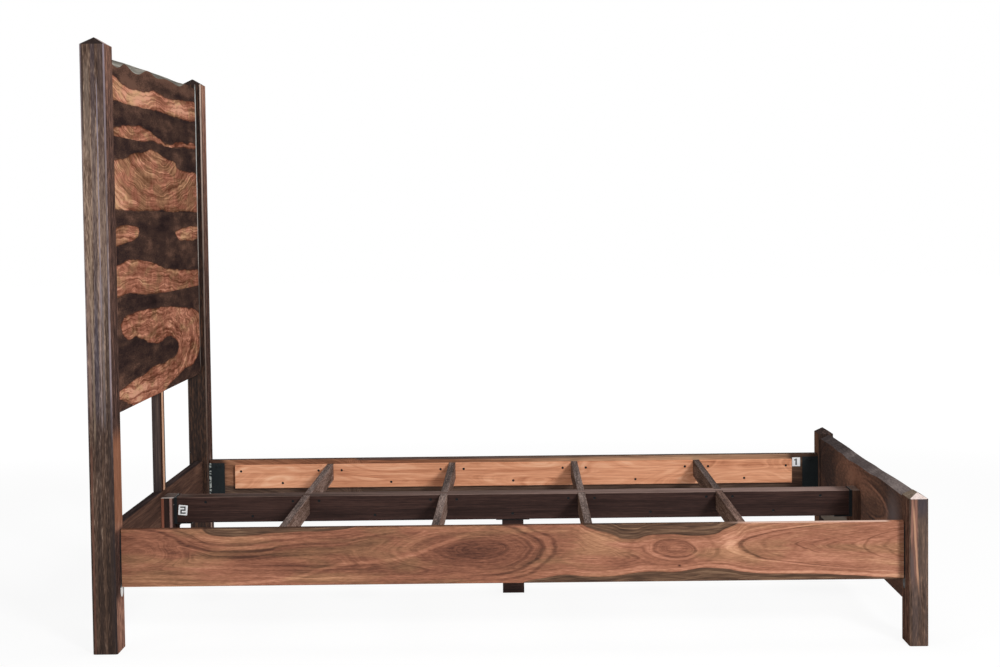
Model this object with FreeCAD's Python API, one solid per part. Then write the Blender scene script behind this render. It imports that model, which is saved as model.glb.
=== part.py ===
import FreeCAD, Part
import os
from FreeCAD import Vector

# Live edge bed frame, queen size, in millimetres.
# X runs from the headboard to the footboard, Z is up, the floor is Z = 0.
# Left and right are as seen from the foot of the bed: left is -Y, right is +Y.

os.makedirs("parts", exist_ok=True)

# Overall
rail_span = 2060.0
overall_width = 1710.0
arris = 1.5
cut_overrun = 1.0

# Low hipped caps on all four posts: how much they rise for each millimetre inwards
cap_slope = 0.61

# Headboard posts
head_post_depth = 64.0
head_post_width = 108.0
eave_over_crest = 4.5
post_arris = 4.0

# Footboard posts
foot_post_depth = 49.0
foot_post_width = 108.0
eave_over_foot_plank = 7.0

# Headboard panel: four wide planks, the top one with a live edge
panel_thickness = 26.0
panel_recess = 20.0
panel_bottom = 614.0
bottom_plank_width = 296.0
lower_plank_width = 244.0
upper_plank_width = 201.0
top_plank_width = 222.5
live_edge_drop = 24.0
live_edge_wave = 12.0
live_edge_back_fall = 10.0
plank_tenon_thickness = 12.0
plank_tenon_length = 16.0
plank_tenon_shoulder = 40.0
tenon_end_gap = 0.5
dowel_diameter = 10.0
dowel_length = 70.0
dowel_clearance = 0.1

# The live edge along the headboard: places as shares of the plank's length, heights of the front
# edge there as shares of the wave, and how far the straighter back edge falls there as shares of its fall
head_wave_place_shares = (
    0.0, 0.074, 0.105, 0.135, 0.176, 0.211, 0.252, 0.297, 0.338, 0.378, 0.429,
    0.464, 0.505, 0.551, 0.601, 0.652, 0.703, 0.753, 0.789, 0.822, 0.856, 0.905, 0.951, 1.0)
head_wave_height_shares = (
    -0.6, -0.8, -1.0, -0.7, 0.35, 0.15, -0.6, -0.85, -0.5, 0.4, 0.95,
    0.6, 0.1, 0.15, 0.55, 0.65, 0.5, 0.2, 0.2, 0.6, 1.25, 1.4, 1.25, 0.95)
head_back_fall_shares = (
    1.0, 1.0, 1.0, 1.0, 0.95, 0.85, 0.7, 0.6, 0.55, 0.5, 0.45,
    0.35, 0.2, 0.2, 0.15, 0.05, 0.0, 0.0, 0.05, 0.05, 0.05, 0.1, 0.1, 0.15)

# Places of the dowels between the planks, as shares of half the panel's width
dowel_place_shares = (-0.8, -0.4, 0.0, 0.4, 0.8)

# Rails across the head, and the short stile over the lower one
head_rail_height = 149.0
head_rail_bottom = 169.0
head_rail_tenon_shoulder = 20.0
stile_width = 72.0
stile_tenon_width = 48.0
stile_tenon_length = 20.0
stile_tenon_thickness = 10.0

# Footboard plank with its hewn live edge
foot_plank_thickness = 30.0
foot_plank_recess = 6.0
foot_plank_bottom = 104.0
foot_plank_height = 273.0
foot_inner_wave = 5.5
foot_outer_wave = 4.0
foot_outer_lift = 9.0
foot_tenon_shoulder = 40.0

# The hewn top of the footboard, in the same way: places, inner edge and outer edge
foot_wave_place_shares = (
    0.0, 0.044, 0.176, 0.282, 0.328, 0.409, 0.510, 0.571, 0.627, 0.693, 0.743, 0.824, 0.905, 1.0)
foot_inner_height_shares = (
    0.7, 0.8, 1.0, 0.85, 0.2, -0.05, -0.2, -0.65, -1.0, -0.1, -0.5, 0.05, -0.2, -0.5)
foot_outer_height_shares = (
    0.9, 0.9, 0.65, 0.0, -0.3, -0.25, -0.9, -1.0, -0.95, -0.7, -0.6, -0.75, -0.9, -1.0)

# Side rails and the notched ledgers on their inner faces
rail_height = 153.0
rail_thickness = 22.0
rail_bottom = 165.0
rail_setback = 66.0
ledger_height = 78.0
ledger_thickness = 22.0
ledger_drop = 18.0
ledger_end_gap = 91.0

# Half slats that drop into the notches
slats_per_side = 4
slat_thickness = 22.0
slat_height = 54.0
slat_side_clearance = 0.5
slat_end_clearance = 1.0

# Centre beam, its two notched ledgers, and the leg under it
beam_thickness = 40.0
beam_height = 76.0
beam_end_inset = 16.5
beam_end_clearance = 4.0
beam_ledger_thickness = 22.0
beam_screw_bite = 12.0
leg_side = 64.0
leg_plate_lug = 18.0
leg_plate_margin = 3.0
leg_plate_thickness = 3.0
leg_bolt_diameter = 10.0
leg_bolt_length = 70.0
leg_bolt_in_beam = 25.0

# Blocks and steel hangers that carry the beam's ends
block_width = 116.0
block_bottom = 165.0
hanger_thickness = 2.5
hanger_seat_length = 54.0
hanger_lip_length = 9.0
hanger_clearance = 0.2

# Steel hooks on the rails' ends and the slotted plates let into the posts
hook_thickness = 2.5
hook_leg_length = 53.0
hook_plate_height = 130.0
hook_reach = 8.0
hook_back_clearance = 0.5
hook_drop = 9.0
hook_height = 26.0
hook_first_level = 30.0
hook_spacing = 64.0
slot_clearance = 0.5
post_plate_width = 38.0
post_plate_height = 168.0
post_plate_thickness = 3.0
post_plate_low = 27.0
pocket_width = 9.0

# Screws
screw_head_radius = 4.0
screw_head_height = 2.5
screw_shank_radius = 2.0
screw_hole_clearance = 0.15
ledger_screw_length = 36.0
short_screw_length = 18.0
block_screw_length = 50.0
counterbore_depth = 5.0
ledger_screw_end_inset = 20.0
ledger_screw_slat_offset = 39.0
ledger_screw_top_inset = 20.0
ledger_screw_bottom_inset = 17.0
beam_screw_top_inset = 15.0
block_screw_edge_inset = 8.5
block_screw_end_inset = 18.0
hook_screw_edge_inset = 12.0
post_screw_end_inset = 11.0
hanger_back_inset = 14.0
hanger_seat_inset = 12.0
leg_screw_edge_inset = 7.0

# Small stickers that mark the far rail and the beam
label_width = 27.0
label_height = 30.0
label_thickness = 0.4
label_edge_gap = 4.0
label_hook_gap = 7.0
label_beam_gap = 6.5
label_tilt_degrees = 6.0

# Places that follow from the sizes
overall_length = head_post_depth + rail_span + foot_post_depth
half_width = overall_width / 2
head_outer_x = -overall_length / 2
head_face_x = head_outer_x + head_post_depth
foot_face_x = head_face_x + rail_span
foot_outer_x = overall_length / 2
middle_x = (head_face_x + foot_face_x) / 2
head_post_inner_y = half_width - head_post_width
foot_post_inner_y = half_width - foot_post_width
panel_front_x = head_face_x - panel_recess
panel_back_x = panel_front_x - panel_thickness
panel_middle_x = (panel_front_x + panel_back_x) / 2
foot_plank_inner_x = foot_face_x + foot_plank_recess
foot_plank_outer_x = foot_plank_inner_x + foot_plank_thickness
rail_outer_y = half_width - rail_setback
rail_inner_y = rail_outer_y - rail_thickness
rail_top = rail_bottom + rail_height
rail_head_end_x = head_face_x + hook_thickness
rail_foot_end_x = foot_face_x - hook_thickness
ledger_top = rail_top - ledger_drop
ledger_bottom = ledger_top - ledger_height
ledger_inner_y = rail_inner_y - ledger_thickness
ledger_head_x = head_face_x + ledger_end_gap
ledger_foot_x = foot_face_x - ledger_end_gap
deck_top = ledger_top
slat_bottom = deck_top - slat_height
beam_bottom = deck_top - beam_height
beam_side_y = beam_thickness / 2
beam_ledger_side_y = beam_side_y + beam_ledger_thickness
head_block_face_x = head_face_x + beam_end_inset
foot_block_face_x = foot_face_x - beam_end_inset
beam_head_x = head_block_face_x + hanger_thickness + beam_end_clearance
beam_foot_x = foot_block_face_x - hanger_thickness - beam_end_clearance
plate_bottom = rail_bottom - post_plate_low
plate_top = plate_bottom + post_plate_height
rail_middle_z = rail_bottom + rail_height / 2
rail_middle_y = (rail_outer_y + rail_inner_y) / 2
slat_pitch = rail_span / (slats_per_side + 1)
slat_places = [head_face_x + slat_pitch * (i + 1) for i in range(slats_per_side)]
hole_radius = screw_shank_radius + screw_hole_clearance
bore_radius = screw_head_radius + screw_hole_clearance
head_rail_top = head_rail_bottom + head_rail_height
plank_widths = (bottom_plank_width, lower_plank_width, upper_plank_width, top_plank_width)
plank_names = ("bottom", "lower", "upper", "top")
head_crest = panel_bottom + sum(plank_widths)
head_post_eave = head_crest + eave_over_crest
foot_top = foot_plank_bottom + foot_plank_height
foot_post_eave = foot_top + eave_over_foot_plank
leg_bolt_radius = leg_bolt_diameter / 2
leg_top = beam_bottom - leg_plate_thickness
parallel_share = 0.999
ALONG_X = Vector(1, 0, 0)
ALONG_Y = Vector(0, 1, 0)
ALONG_Z = Vector(0, 0, 1)

written = []


def save(name, *solids):
    """Write one node, as a single solid or as a group of separate solids."""
    shape = solids[0] if len(solids) == 1 else Part.makeCompound(list(solids))
    shape.exportStep("parts/" + name + ".step")
    written.append(name)


def block(x0, x1, y0, y1, z0, z1):
    """A box between two corners, given in any order."""
    low = Vector(min(x0, x1), min(y0, y1), min(z0, z1))
    return Part.makeBox(abs(x1 - x0), abs(y1 - y0), abs(z1 - z0), low)


def eased(shape, size, along):
    """A box with its four edges along one axis chamfered."""
    edges = []
    for edge in shape.Edges:
        first, last = [corner.Point for corner in edge.Vertexes]
        if abs((last - first).normalize().dot(along)) > parallel_share:
            edges.append(edge)
    return shape.makeChamfer(size, edges)


def other_side(shape):
    """The same piece on the other side of the bed."""
    return shape.mirror(Vector(0, 0, 0), ALONG_Y)


def prism(points, direction):
    """A flat outline carried along a direction."""
    return Part.Face(Part.makePolygon(list(points) + [points[0]])).extrude(direction)


def rod(point, direction, radius, length):
    """A round bar from a point along a direction."""
    return Part.makeCylinder(radius, length, point, direction)


def screw(point, direction, length):
    """A wood screw: the underside of its head is at the point, and its shank runs along the direction."""
    head = rod(point, direction * -1, screw_head_radius, screw_head_height)
    return head.fuse(rod(point, direction, screw_shank_radius, length)).removeSplitter()


def screw_room(point, direction, length, sink):
    """The hole that a screw needs, with a counterbore of a given depth over its head's underside."""
    hole = rod(point, direction, hole_radius, length)
    return hole.fuse(rod(point, direction * -1, bore_radius, sink)) if sink else hole


def gable(low, high, way, eave, carry):
    """A wall with a gable at the cap's slope, from one corner to another along one axis and carried along."""
    middle = (low + high) / 2
    up = ALONG_Z * (eave + (high - low).dot(way) / 2 * cap_slope)
    return prism([low, high, high + ALONG_Z * eave, middle + up, low + ALONG_Z * eave], carry)


def post(x0, x1, y0, y1, eave):
    """A square post with eased edges and a low hipped cap, from its low corner to its high corner."""
    corner = Vector(x0, y0, 0)
    deep = ALONG_X * (x1 - x0)
    wide = ALONG_Y * (y1 - y0)
    top = eave + deep.Length / 2 * cap_slope
    shaft = eased(block(x0, x1, y0, y1, 0, top), post_arris, ALONG_Z)
    roof = gable(corner, corner + deep, ALONG_X, eave, wide)
    roof = roof.common(gable(corner, corner + wide, ALONG_Y, eave, deep))
    return shaft.common(roof).removeSplitter()


def wavy_plank(x_front, x_back, y_end, z_low, front_heights, back_heights, place_shares):
    """A plank whose top is a ruled surface between a wavy front edge and a calmer back edge."""
    wires = []
    for x, heights in ((x_front, front_heights), (x_back, back_heights)):
        places = [-y_end + share * 2 * y_end for share in place_shares]
        points = [Vector(x, y, z) for y, z in zip(places, heights)]
        curve = Part.BSplineCurve()
        curve.interpolate(points)
        low_a = Vector(x, -y_end, z_low)
        low_b = Vector(x, y_end, z_low)
        wires.append(Part.Wire([
            Part.makeLine(low_a, low_b),
            Part.makeLine(low_b, points[-1]),
            curve.toShape(),
            Part.makeLine(points[0], low_a)]))
    return Part.makeLoft(wires, True, True)


# Headboard planks, each tenoned into both posts at its ends
plank_bottoms = []
level = panel_bottom
for width in plank_widths:
    plank_bottoms.append(level)
    level = level + width
tenon_x0 = panel_middle_x - plank_tenon_thickness / 2
tenon_x1 = panel_middle_x + plank_tenon_thickness / 2
dowel_places = [head_post_inner_y * share for share in dowel_place_shares]


def plank_tenon(side, z0, width, depth):
    """The stub tenon, or its mortise, at one end of a headboard plank."""
    inner = side * (head_post_inner_y - cut_overrun)
    outer = side * (head_post_inner_y + depth)
    return block(
        tenon_x0, tenon_x1, inner, outer,
        z0 + plank_tenon_shoulder, z0 + width - plank_tenon_shoulder)


def dowel(place, z, extra):
    """One dowel across a joint between planks, or its hole when extra is more than zero."""
    low = Vector(panel_middle_x, place, z - dowel_length / 2 - extra)
    return rod(low, ALONG_Z, dowel_diameter / 2 + extra, dowel_length + 2 * extra)


planks = []
for name, z0, width in zip(plank_names, plank_bottoms, plank_widths):
    if name == "top":
        front_middle = head_crest - live_edge_drop
        front = [front_middle + share * live_edge_wave for share in head_wave_height_shares]
        back = [head_crest - share * live_edge_back_fall for share in head_back_fall_shares]
        plank = wavy_plank(
            panel_front_x, panel_back_x, head_post_inner_y, z0, front, back, head_wave_place_shares)
    else:
        plank = block(
            panel_back_x, panel_front_x, -head_post_inner_y, head_post_inner_y, z0, z0 + width)
    for side in (-1, 1):
        plank = plank.fuse(plank_tenon(side, z0, width, plank_tenon_length))
    for joint in plank_bottoms[1:]:
        if joint in (z0, z0 + width):
            for place in dowel_places:
                plank = plank.cut(dowel(place, joint, dowel_clearance))
    planks.append(plank.removeSplitter())
dowels = [dowel(place, joint, 0) for joint in plank_bottoms[1:] for place in dowel_places]

# Lower rail of the headboard and the short stile between it and the planks
head_rail = block(
    panel_back_x, panel_front_x, -head_post_inner_y, head_post_inner_y, head_rail_bottom, head_rail_top)
head_rail = eased(head_rail, arris, ALONG_Y)


def head_rail_tenon(side, depth):
    """The stub tenon, or its mortise, at one end of the headboard's lower rail."""
    inner = side * (head_post_inner_y - cut_overrun)
    outer = side * (head_post_inner_y + depth)
    return block(
        tenon_x0, tenon_x1, inner, outer,
        head_rail_bottom + head_rail_tenon_shoulder, head_rail_top - head_rail_tenon_shoulder)


def stile_tenon(z, direction, depth):
    """The stub tenon, or its mortise, at the top or the foot of the short stile."""
    half = stile_tenon_thickness / 2
    return block(
        panel_middle_x - half, panel_middle_x + half, -stile_tenon_width / 2, stile_tenon_width / 2,
        z - direction * cut_overrun, z + direction * depth)


stile_mortise = stile_tenon_length + tenon_end_gap
stile = block(panel_back_x, panel_front_x, -stile_width / 2, stile_width / 2, head_rail_top, panel_bottom)
stile = eased(stile, arris, ALONG_Z)
for z, direction in ((panel_bottom, 1), (head_rail_top, -1)):
    stile = stile.fuse(stile_tenon(z, direction, stile_tenon_length))
stile = stile.removeSplitter()
for side in (-1, 1):
    head_rail = head_rail.fuse(head_rail_tenon(side, plank_tenon_length))
head_rail = head_rail.cut(stile_tenon(head_rail_top, -1, stile_mortise)).removeSplitter()
planks[0] = planks[0].cut(stile_tenon(panel_bottom, 1, stile_mortise))

# Footboard plank, tenoned into the foot posts
inner_heights = [foot_top + (share - 1) * foot_inner_wave for share in foot_inner_height_shares]
outer_heights = [foot_top + foot_outer_lift + share * foot_outer_wave for share in foot_outer_height_shares]
foot_plank = wavy_plank(
    foot_plank_inner_x, foot_plank_outer_x, foot_post_inner_y, foot_plank_bottom,
    inner_heights, outer_heights, foot_wave_place_shares)
foot_plank_middle_x = (foot_plank_inner_x + foot_plank_outer_x) / 2
foot_tenon_x0 = foot_plank_middle_x - plank_tenon_thickness / 2
foot_tenon_x1 = foot_plank_middle_x + plank_tenon_thickness / 2


def foot_tenon(side, depth):
    """The stub tenon, or its mortise, at one end of the footboard plank."""
    inner = side * (foot_post_inner_y - cut_overrun)
    outer = side * (foot_post_inner_y + depth)
    return block(
        foot_tenon_x0, foot_tenon_x1, inner, outer,
        foot_plank_bottom + foot_tenon_shoulder, foot_top - foot_tenon_shoulder)


for side in (-1, 1):
    foot_plank = foot_plank.fuse(foot_tenon(side, plank_tenon_length))
foot_plank = foot_plank.removeSplitter()

# Hook fittings, drawn for the left rail's head end, with the post's face at face_x
# and way = 1 towards the middle of the bed. The right side is a mirror image.
hook_levels = (rail_bottom + hook_first_level, rail_bottom + hook_first_level + hook_spacing)
hook_back = post_plate_thickness + hook_back_clearance
hook_tip = hook_back + hook_reach


def rail_hook(face_x, way):
    """An angle plate on the rail's inner face and end, with two hooks that drop behind the post's plate."""
    low = rail_middle_z - hook_plate_height / 2
    high = rail_middle_z + hook_plate_height / 2
    leg_end = face_x + way * hook_leg_length
    plate = block(face_x, leg_end, -rail_inner_y, -rail_inner_y + hook_thickness, low, high)
    plate = plate.fuse(block(face_x, face_x + way * hook_thickness, -rail_outer_y, -rail_inner_y, low, high))
    y = -rail_middle_y - hook_thickness / 2
    for level in hook_levels:
        nose = level - hook_drop
        top = level + hook_height - hook_drop
        outline = [(0, level), (hook_back, level), (hook_back, nose)]
        outline.extend([(hook_tip, nose), (hook_tip, top), (0, top)])
        corners = [Vector(face_x - way * into, y, z) for into, z in outline]
        plate = plate.fuse(prism(corners, ALONG_Y * hook_thickness))
    for point in hook_screw_points(face_x, way):
        plate = plate.cut(screw_room(point, ALONG_Y * -1, hook_thickness + cut_overrun, 0))
    return plate.removeSplitter()


def hook_screw_points(face_x, way):
    """Where the undersides of the hook plate's four screw heads lie."""
    high = hook_plate_height / 2 - hook_screw_edge_inset
    y = -rail_inner_y + hook_thickness
    xs = (face_x + way * (hook_leg_length - hook_screw_edge_inset), face_x + way * hook_leg_length / 2)
    return [Vector(x, y, rail_middle_z + s * high) for x in xs for s in (-1, 1)]


def post_plate_outline(face_x, way, depth):
    """The round-ended plate, or the bed cut for it, let in flush with the post's face."""
    half = post_plate_width / 2
    low = plate_bottom + half
    high = plate_top - half
    shape = block(face_x, face_x - way * depth, -rail_middle_y - half, -rail_middle_y + half, low, high)
    for z in (low, high):
        shape = shape.fuse(rod(Vector(face_x, -rail_middle_y, z), ALONG_X * -way, half, depth))
    return shape.removeSplitter()


def slot_room(face_x, way, level, depth, width):
    """The slot in the post's plate, or the pocket behind it, that one hook drops into."""
    top = level + hook_height + slot_clearance
    return block(
        face_x + way * cut_overrun, face_x - way * depth,
        -rail_middle_y - width / 2, -rail_middle_y + width / 2, level, top)


def post_screw_points(face_x, way):
    """Where the post plate's screws go, at its two ends."""
    levels = (plate_bottom + post_screw_end_inset, plate_top - post_screw_end_inset)
    return [Vector(face_x, -rail_middle_y, z) for z in levels]


def post_plate(face_x, way):
    """The slotted plate that carries the rail's hooks."""
    shape = post_plate_outline(face_x, way, post_plate_thickness)
    slot_width = hook_thickness + 2 * slot_clearance
    for level in hook_levels:
        shape = shape.cut(slot_room(face_x, way, level, post_plate_thickness + cut_overrun, slot_width))
    for point in post_screw_points(face_x, way):
        start = point - ALONG_X * way * screw_head_height
        room = screw_room(start, ALONG_X * -way, post_plate_thickness, screw_head_height + cut_overrun)
        shape = shape.cut(room)
    return shape


def post_bed(face_x, way):
    """Everything cut from a post for its plate: the bed, the hooks' pockets and the screws' holes."""
    shape = post_plate_outline(face_x, way, post_plate_thickness)
    for level in hook_levels:
        pocket = slot_room(face_x, way, level, hook_tip + slot_clearance, pocket_width)
        low = block(
            face_x - way * post_plate_thickness, face_x - way * (hook_tip + slot_clearance),
            -rail_middle_y - pocket_width / 2, -rail_middle_y + pocket_width / 2,
            level - hook_drop - slot_clearance, level)
        shape = shape.fuse([pocket, low])
    for point in post_screw_points(face_x, way):
        start = point - ALONG_X * way * screw_head_height
        shape = shape.fuse(screw_room(start, ALONG_X * -way, short_screw_length, 0))
    return shape


# Side rail, with room for its hook plates' screws and its ledger's screws
segment_edges = [ledger_head_x] + slat_places + [ledger_foot_x]


def ledger_screw_places(top_inset, bottom_inset, top, bottom):
    """Screw places along a notched ledger: two high and one low between neighbouring slats."""
    places = []
    for i, (a, b) in enumerate(zip(segment_edges, segment_edges[1:])):
        first = a + (ledger_screw_end_inset if i == 0 else ledger_screw_slat_offset)
        last = b - (ledger_screw_end_inset if i == slats_per_side else ledger_screw_slat_offset)
        places.append((first, top - top_inset))
        places.append(((a + b) / 2, bottom + bottom_inset))
        places.append((last, top - top_inset))
    return places


def notches(y0, y1):
    """The slots in a ledger that the slats drop into."""
    half = slat_thickness / 2 + slat_side_clearance
    return [block(x - half, x + half, y0, y1, slat_bottom, deck_top + cut_overrun) for x in slat_places]


rail_screw_places = ledger_screw_places(
    ledger_screw_top_inset, ledger_screw_bottom_inset, ledger_top, ledger_bottom)
rail_screw_points = [Vector(x, -ledger_inner_y - counterbore_depth, z) for x, z in rail_screw_places]
side_rail = block(rail_head_end_x, rail_foot_end_x, -rail_outer_y, -rail_inner_y, rail_bottom, rail_top)
side_rail = eased(side_rail, arris, ALONG_X)
ledger = block(ledger_head_x, ledger_foot_x, -rail_inner_y, -ledger_inner_y, ledger_bottom, ledger_top)
ledger = eased(ledger, arris, ALONG_X)
ledger = ledger.cut(notches(-rail_inner_y - cut_overrun, -ledger_inner_y + cut_overrun))
for point in rail_screw_points:
    room = screw_room(point, ALONG_Y * -1, ledger_screw_length, counterbore_depth + cut_overrun)
    ledger = ledger.cut(room)
    side_rail = side_rail.cut(room)
for face_x, way in ((head_face_x, 1), (foot_face_x, -1)):
    for point in hook_screw_points(face_x, way):
        side_rail = side_rail.cut(screw_room(point, ALONG_Y * -1, short_screw_length, 0))
ledger_screws = [screw(point, ALONG_Y * -1, ledger_screw_length) for point in rail_screw_points]

# Centre beam and its ledgers
beam_screw_places = ledger_screw_places(
    beam_screw_top_inset, ledger_screw_bottom_inset, deck_top, beam_bottom)
beam_screw_points = [Vector(x, -beam_ledger_side_y + counterbore_depth, z) for x, z in beam_screw_places]
beam = block(beam_head_x, beam_foot_x, -beam_side_y, beam_side_y, beam_bottom, deck_top)
beam = eased(beam, arris, ALONG_X)
beam_ledger = block(beam_head_x, beam_foot_x, -beam_ledger_side_y, -beam_side_y, beam_bottom, deck_top)
beam_ledger = eased(beam_ledger, arris, ALONG_X)
beam_ledger = beam_ledger.cut(notches(-beam_ledger_side_y - cut_overrun, -beam_side_y + cut_overrun))
beam_screw_length = beam_ledger_thickness - counterbore_depth + beam_screw_bite
for point in beam_screw_points:
    room = screw_room(point, ALONG_Y, beam_screw_length, counterbore_depth + cut_overrun)
    beam_ledger = beam_ledger.cut(room)
    beam = beam.cut([room, other_side(room)])
beam_screws = [screw(point, ALONG_Y, beam_screw_length) for point in beam_screw_points]

# Half slats, one on each side of the beam at every notch
slat_inner_y = beam_side_y + slat_end_clearance
slat_outer_y = rail_inner_y - slat_end_clearance


def slat(x):
    """A half slat on edge, resting on the floors of its two notches."""
    half = slat_thickness / 2
    shape = block(x - half, x + half, -slat_outer_y, -slat_inner_y, slat_bottom, deck_top)
    return eased(shape, arris, ALONG_Y)


# Blocks and hangers at the beam's ends
hanger_side_y = beam_ledger_side_y + hanger_clearance
hanger_outer_y = hanger_side_y + hanger_thickness
beam_middle_z = beam_bottom + beam_height / 2
block_screw_y = block_width / 2 - block_screw_edge_inset
block_screw_zs = (block_bottom + block_screw_end_inset, deck_top - block_screw_end_inset)


def block_screw_points(face_x, way):
    """The undersides of the four sunk screw heads in a beam block."""
    x = face_x - way * counterbore_depth
    return [Vector(x, s * block_screw_y, z) for z in block_screw_zs for s in (-1, 1)]


def hanger_back_points(face_x, way):
    """The undersides of the four screw heads in a hanger's back."""
    x = face_x + way * hanger_thickness
    high = beam_height / 2 - hanger_back_inset
    across = beam_ledger_side_y - hanger_back_inset
    return [Vector(x, sy * across, beam_middle_z + sz * high) for sy in (-1, 1) for sz in (-1, 1)]


def hanger_seat_points(face_x, way):
    """The tops of the two screw heads under a hanger's seat."""
    x = face_x + way * (hanger_seat_length - hanger_seat_inset)
    return [Vector(x, s * beam_side_y / 2, beam_bottom - hanger_thickness) for s in (-1, 1)]


def beam_block(back_x, face_x, way):
    """A wooden block, screwed to the head rail or the footboard plank, that the hanger is fixed to."""
    shape = block(back_x, face_x, -block_width / 2, block_width / 2, block_bottom, deck_top)
    shape = eased(shape, arris, ALONG_Z)
    for point in block_screw_points(face_x, way):
        room = screw_room(point, ALONG_X * -way, block_screw_length, counterbore_depth + cut_overrun)
        shape = shape.cut(room)
    for point in hanger_back_points(face_x, way):
        shape = shape.cut(screw_room(point, ALONG_X * -way, short_screw_length, 0))
    return shape


def hanger(face_x, way):
    """A folded steel hanger: a back on the block with two short lips, and a seat under the beam."""
    seat_x = face_x + way * hanger_seat_length
    lip_x = face_x + way * hanger_lip_length
    low = beam_bottom - hanger_thickness
    drill = hanger_thickness + cut_overrun
    shape = block(face_x, face_x + way * hanger_thickness, -hanger_outer_y, hanger_outer_y, low, deck_top)
    shape = shape.fuse(block(face_x, seat_x, -hanger_outer_y, hanger_outer_y, low, beam_bottom))
    for side in (-1, 1):
        shape = shape.fuse(block(face_x, lip_x, side * hanger_side_y, side * hanger_outer_y, low, deck_top))
    for point in hanger_back_points(face_x, way):
        shape = shape.cut(screw_room(point, ALONG_X * -way, drill, 0))
    for point in hanger_seat_points(face_x, way):
        shape = shape.cut(screw_room(point, ALONG_Z, drill, 0))
    return shape.removeSplitter()


beam_ends = (
    ("head", panel_front_x, head_block_face_x, 1),
    ("foot", foot_plank_inner_x, foot_block_face_x, -1))
blocks = {}
hangers = {}
block_screws = []
hanger_screws = []
for end, back_x, face_x, way in beam_ends:
    blocks[end] = beam_block(back_x, face_x, way)
    hangers[end] = hanger(face_x, way)
    for point in block_screw_points(face_x, way):
        length = min(block_screw_length, abs(face_x - back_x) + panel_thickness / 2)
        block_screws.append(screw(point, ALONG_X * -way, length))
        room = screw_room(point, ALONG_X * -way, length, 0)
        if end == "head":
            head_rail = head_rail.cut(room)
        else:
            foot_plank = foot_plank.cut(room)
    for point in hanger_back_points(face_x, way):
        hanger_screws.append(screw(point, ALONG_X * -way, short_screw_length))
    for point in hanger_seat_points(face_x, way):
        hanger_screws.append(screw(point, ALONG_Z, short_screw_length))
        beam = beam.cut(screw_room(point, ALONG_Z, short_screw_length, 0))

# Centre leg with its screw-on plate and hanger bolt
half_leg = leg_side / 2
leg = block(middle_x - half_leg, middle_x + half_leg, -half_leg, half_leg, 0, leg_top)
leg = eased(leg, arris, ALONG_Z)
bolt_low = Vector(middle_x, 0, beam_bottom + leg_bolt_in_beam - leg_bolt_length)
leg_bolt = rod(bolt_low, ALONG_Z, leg_bolt_radius, leg_bolt_length)
bolt_room = rod(bolt_low, ALONG_Z, leg_bolt_radius + screw_hole_clearance, leg_bolt_length)
half_plate = half_leg + leg_plate_lug
half_plate_width = half_leg + leg_plate_margin
leg_plate = block(
    middle_x - half_plate, middle_x + half_plate, -half_plate_width, half_plate_width, leg_top, beam_bottom)
leg_screw_reach = half_plate - leg_screw_edge_inset
leg_screw_points = [Vector(middle_x + side * leg_screw_reach, 0, leg_top) for side in (-1, 1)]
leg_screws = []
for point in leg_screw_points:
    leg_plate = leg_plate.cut(screw_room(point, ALONG_Z, leg_plate_thickness, 0))
    beam = beam.cut(screw_room(point, ALONG_Z, short_screw_length, 0))
    leg_screws.append(screw(point, ALONG_Z, short_screw_length))
leg = leg.cut(bolt_room)
leg_plate = leg_plate.cut(bolt_room)
beam = beam.cut(bolt_room)

# Posts
head_post = post(head_outer_x, head_face_x, -half_width, -head_post_inner_y, head_post_eave)
mortise_depth = plank_tenon_length + tenon_end_gap
for z0, width in zip(plank_bottoms, plank_widths):
    head_post = head_post.cut(plank_tenon(-1, z0, width, mortise_depth))
head_post = head_post.cut([head_rail_tenon(-1, mortise_depth), post_bed(head_face_x, 1)])
foot_post = post(foot_face_x, foot_outer_x, -half_width, -foot_post_inner_y, foot_post_eave)
foot_post = foot_post.cut([foot_tenon(-1, mortise_depth), post_bed(foot_face_x, -1)])

# Stickers
rail_label_x1 = foot_face_x - hook_leg_length - label_hook_gap
rail_label_top = ledger_top + label_edge_gap
rail_label = block(
    rail_label_x1 - label_width, rail_label_x1, rail_inner_y - label_thickness, rail_inner_y,
    rail_label_top - label_height, rail_label_top)
beam_label_x = beam_head_x + label_beam_gap + label_width / 2
beam_label = block(
    beam_label_x - label_width / 2, beam_label_x + label_width / 2,
    -beam_ledger_side_y - label_thickness, -beam_ledger_side_y,
    beam_middle_z - label_height / 2, beam_middle_z + label_height / 2)
beam_label.rotate(Vector(beam_label_x, -beam_ledger_side_y, beam_middle_z), ALONG_Y, label_tilt_degrees)

# Write every node
for side, turn in (("left", lambda shape: shape), ("right", other_side)):
    save("head_post_" + side, turn(head_post))
    save("foot_post_" + side, turn(foot_post))
    save("side_rail_" + side, turn(side_rail))
    save("rail_ledger_" + side, turn(ledger))
    save("rail_ledger_screws_" + side, *[turn(s) for s in ledger_screws])
    save("beam_ledger_" + side, turn(beam_ledger))
    save("beam_ledger_screws_" + side, *[turn(s) for s in beam_screws])
    for i, x in enumerate(slat_places):
        save("slat_" + side + "_" + str(i + 1), turn(slat(x)))
    for end, face_x, way in (("head", head_face_x, 1), ("foot", foot_face_x, -1)):
        save("rail_hook_" + end + "_" + side, turn(rail_hook(face_x, way)))
        save("post_plate_" + end + "_" + side, turn(post_plate(face_x, way)))
for name, plank in zip(plank_names, planks):
    save("headboard_plank_" + name, plank)
save("headboard_dowels", *dowels)
save("headboard_lower_rail", head_rail)
save("headboard_stile", stile)
save("footboard_plank", foot_plank)
save("centre_beam", beam)
save("centre_leg", leg)
save("leg_plate", leg_plate)
save("leg_bolt", leg_bolt)
save("leg_plate_screws", *leg_screws)
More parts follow.
